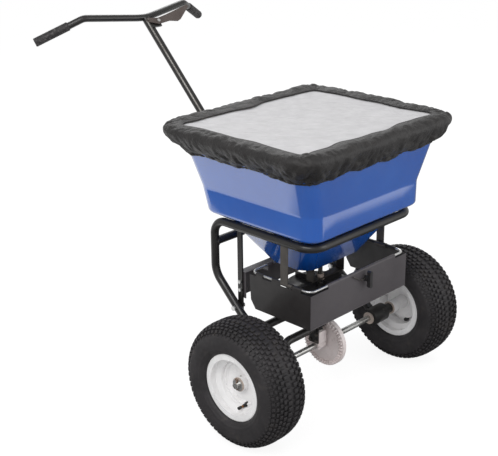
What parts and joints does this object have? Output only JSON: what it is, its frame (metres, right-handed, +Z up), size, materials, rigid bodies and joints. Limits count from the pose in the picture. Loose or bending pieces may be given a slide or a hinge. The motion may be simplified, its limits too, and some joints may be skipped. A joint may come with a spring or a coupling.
{
  "type": "walk-behind salt spreader",
  "caption": "Walk-behind broadcast spreader: covered hopper on a bent tube frame, deflector box round a geared spinner, gate with a lever at the bar.",
  "frame": {"origin": "on the ground, under the middle of the part's box", "axes": "+Z up, +Y towards the handle and the operator, +X to the machine's left seen from behind, along the axle"},
  "size_m": [0.769, 1.0012, 0.9685],
  "materials": {
    "tyre": "moulded rubber, matt, with a tread of small square blocks",
    "white_rim": "white enamel, satin",
    "bush_plastic": "natural nylon",
    "rubber": "black rubber",
    "axle_steel": "bright steel bar, turned",
    "black_frame": "black powder coat, satin",
    "zinc": "zinc plated steel",
    "pin_brass": "yellow passivated steel, dulled",
    "gear_plastic": "pale moulded nylon",
    "black_plastic": "black moulded plastic",
    "hopper_plastic": "rotation moulded polyethylene, blue, satin",
    "side_panel_sheet": "black powder coat, satin",
    "front_panel_sheet": "dark powder coat, satin",
    "grip": "soft ribbed plastic",
    "lever_paint": "dark lacquered sheet steel",
    "cover_cloth": "coated woven cloth, gathered by its elastic",
    "cover_sheet": "pale translucent coated cloth, lightly creased"
  },
  "bodies": {
    "root": {"bearing_housings": "black_frame", "bearing_bushes": "bush_plastic", "main_frame_tube": "black_frame", "rear_cross_tube": "black_frame", "lower_cross_tube": "black_frame", "gearbox_arm": "black_frame", "foot_bearing": "gear_plastic", "gearbox_bolts": "zinc", "stand_legs": "black_frame", "leg_feet": "rubber", "leg_bolts": "zinc", "bearing_strap": "zinc", "strap_bush": "bush_plastic", "strap_bolts": "zinc", "hopper": "hopper_plastic", "shaft_seal": "rubber", "gate_guides": "zinc", "deflector_rod": "zinc", "rear_panel": "front_panel_sheet", "rear_panel_bolts": "zinc", "front_posts": "zinc", "handle_bracket": "black_frame", "bracket_bolts": "zinc", "handle_post": "black_frame", "handlebar": "black_frame", "handle_grips": "grip", "lever_bracket": "black_frame", "lever_pivot_bolt": "zinc", "cover_border": "cover_cloth", "cover_window": "cover_sheet"},
    "drive_wheel_and_axle": {"axle": "axle_steel", "axle_spacers": "black_frame", "axle_washers": "zinc", "cotter_pins": "pin_brass", "wheel_drive_pin": "axle_steel", "drive_gear": "gear_plastic", "gear_pin": "axle_steel", "right_tyre": "tyre", "right_rim": "white_rim", "right_hub_bushes": "bush_plastic", "right_valve_stem": "rubber"},
    "free_wheel": {"left_tyre": "tyre", "left_rim": "white_rim", "left_hub_bushes": "bush_plastic", "left_valve_stem": "rubber"},
    "spinner": {"spinner_shaft": "axle_steel", "pinion": "black_plastic", "thrust_washer": "zinc", "shaft_pins": "axle_steel", "spinner_disc": "black_plastic", "agitator": "black_plastic"},
    "gate": {"gate_plate": "zinc", "gate_pin": "axle_steel"},
    "gate_rod": {"control_rod": "axle_steel"},
    "lever": {"control_lever": "lever_paint"},
    "flap": {"front_flap": "front_panel_sheet"},
    "knob": {"front_knob": "black_plastic", "catch_wire": "zinc"},
    "right_deflector": {"right_side_panel": "side_panel_sheet"},
    "left_deflector": {"left_side_panel": "side_panel_sheet"}
  },
  "joints": [
    {"name": "axle_spin", "type": "hinge", "parent": "root", "child": "drive_wheel_and_axle", "pos_m": [0, -0.32464, 0.165], "axis": [1, 0, 0], "continuous": true},
    {"name": "free_wheel_spin", "type": "hinge", "parent": "drive_wheel_and_axle", "child": "free_wheel", "pos_m": [0.322, -0.32464, 0.165], "axis": [1, 0, 0], "continuous": true},
    {"name": "spinner_spin", "type": "hinge", "parent": "root", "child": "spinner", "pos_m": [-0.04186, -0.32464, 0.3], "axis": [0, 0, 1], "continuous": true},
    {"name": "lever_pivot", "type": "hinge", "parent": "root", "child": "lever", "pos_m": [0.02, 0.34811, 0.93428], "axis": [0, -0.7254, 0.6884], "range_deg": [0, 30.52]},
    {"name": "gate_slide", "type": "slide", "parent": "root", "child": "gate", "axis": [0, -1, 0], "range_m": [0, 0.026]},
    {"name": "gate_rod_swing", "type": "hinge", "parent": "gate", "child": "gate_rod", "pos_m": [-0.0134, -0.1527, 0.4005], "axis": [1, 0, 0], "range_deg": [-1.56, 0]},
    {"name": "flap_swing", "type": "hinge", "parent": "root", "child": "flap", "pos_m": [0, -0.41964, 0.387], "axis": [-1, 0, 0], "range_deg": [0, 75]},
    {"name": "right_deflector_swing", "type": "hinge", "parent": "root", "child": "right_deflector", "pos_m": [-0.188, -0.32464, 0.387], "axis": [0, 1, 0], "range_deg": [0, 75]},
    {"name": "left_deflector_swing", "type": "hinge", "parent": "root", "child": "left_deflector", "pos_m": [0.188, -0.32464, 0.387], "axis": [0, -1, 0], "range_deg": [0, 75]},
    {"name": "knob_turn", "type": "hinge", "parent": "flap", "child": "knob", "pos_m": [0.0185, -0.42464, 0.365], "axis": [0, -1, 0], "range_deg": [0, 90]}
  ],
  "couplings": [
    {"joint": "spinner_spin", "follows": "axle_spin", "ratio": -4.2},
    {"joint": "gate_slide", "follows": "lever_pivot", "m_per_rad": 0.04881},
    {"joint": "gate_rod_swing", "follows": "lever_pivot", "ratio": -0.04779}
  ]
}
